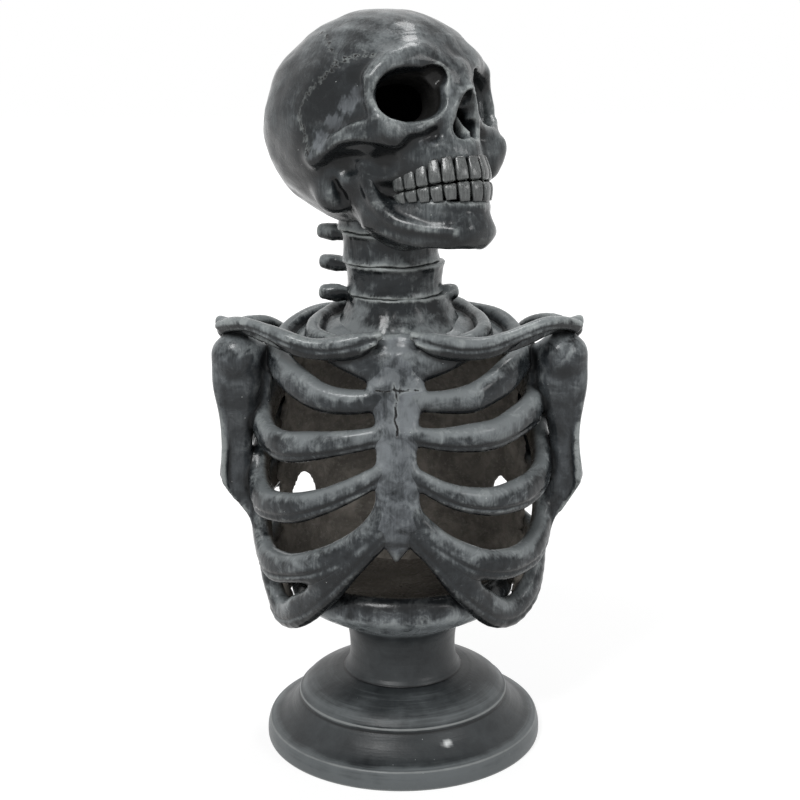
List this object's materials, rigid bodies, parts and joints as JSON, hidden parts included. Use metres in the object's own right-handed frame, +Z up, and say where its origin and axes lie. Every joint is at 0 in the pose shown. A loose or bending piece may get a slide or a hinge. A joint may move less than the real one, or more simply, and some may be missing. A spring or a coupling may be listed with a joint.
{
  "type": "light-up skeleton torso",
  "caption": "Free-standing skeleton bust: skull turned to one side on a ringed neck, rib cage, cut-off arms and a turned foot that holds the lamp's batteries.",
  "frame": {"origin": "centre of the foot on the surface that it stands on", "axes": "+Z up, the breast bone faces -Y, +X to the skeleton's own left (the picture's right)"},
  "size_m": [0.3144, 0.238, 0.6139],
  "materials": {
    "bone_paint": "semi-gloss charcoal paint, dry-brushed in pale grey-green on every raised edge",
    "bare_resin": "matt brown-grey, speckled, with worn pale patches",
    "black_plastic": "satin black moulded plastic",
    "steel": "nickel-plated steel",
    "brass": "plain turned brass",
    "cell_wrap": "plain shrunk wrap with no marks",
    "lead_skin": "soft black sheath",
    "lamp_body": "clear warm-tinted epoxy"
  },
  "bodies": {
    "root": {"pedestal_foot": "bone_paint", "waist_ring": "bone_paint", "thoracic_spine": "bone_paint", "sternum": "bone_paint", "manubrium": "bone_paint", "rib_right_1": "bone_paint", "rib_right_2": "bone_paint", "rib_right_3": "bone_paint", "rib_right_4": "bone_paint", "rib_right_5": "bone_paint", "rib_right_6": "bone_paint", "rib_left_1": "bone_paint", "rib_left_2": "bone_paint", "rib_left_3": "bone_paint", "rib_left_4": "bone_paint", "rib_left_5": "bone_paint", "rib_left_6": "bone_paint", "collar_bone_right": "bone_paint", "collar_bone_left": "bone_paint", "shoulder_blade_right": "bone_paint", "shoulder_blade_left": "bone_paint", "upper_arm_right": "bone_paint", "upper_arm_left": "bone_paint", "neck_ring_1": "bone_paint", "neck_ring_2": "bone_paint", "neck_ring_3": "bone_paint", "neck_ring_4": "bone_paint", "skull": "bone_paint", "jaw": "bone_paint", "back_wall": "bare_resin", "chest_top": "bare_resin", "base_plate": "black_plastic", "switch_body": "black_plastic", "lamp_holder": "black_plastic", "contact_positive": "steel", "contact_link_a": "steel", "contact_link_b": "steel", "contact_negative": "steel", "tie_tube": "steel", "tie_washer_lower": "steel", "tie_washer_upper": "steel", "plate_screw_1": "steel", "plate_screw_2": "steel", "plate_screw_3": "steel", "plate_screw_4": "steel", "tie_nut_lower": "brass", "tie_nut_upper": "brass", "battery_1": "cell_wrap", "battery_2": "cell_wrap", "battery_3": "cell_wrap", "lead": "lead_skin", "lamp": "lamp_body"},
    "battery_door": {"battery_door": "black_plastic"},
    "switch_knob": {"switch_knob": "black_plastic"}
  },
  "joints": [
    {"name": "door_slide", "type": "slide", "parent": "root", "child": "battery_door", "axis": [0, 1, 0], "range_m": [0, 0.044]},
    {"name": "switch_slide", "type": "slide", "parent": "root", "child": "switch_knob", "axis": [1, 0, 0], "range_m": [0, 0.004]}
  ]
}
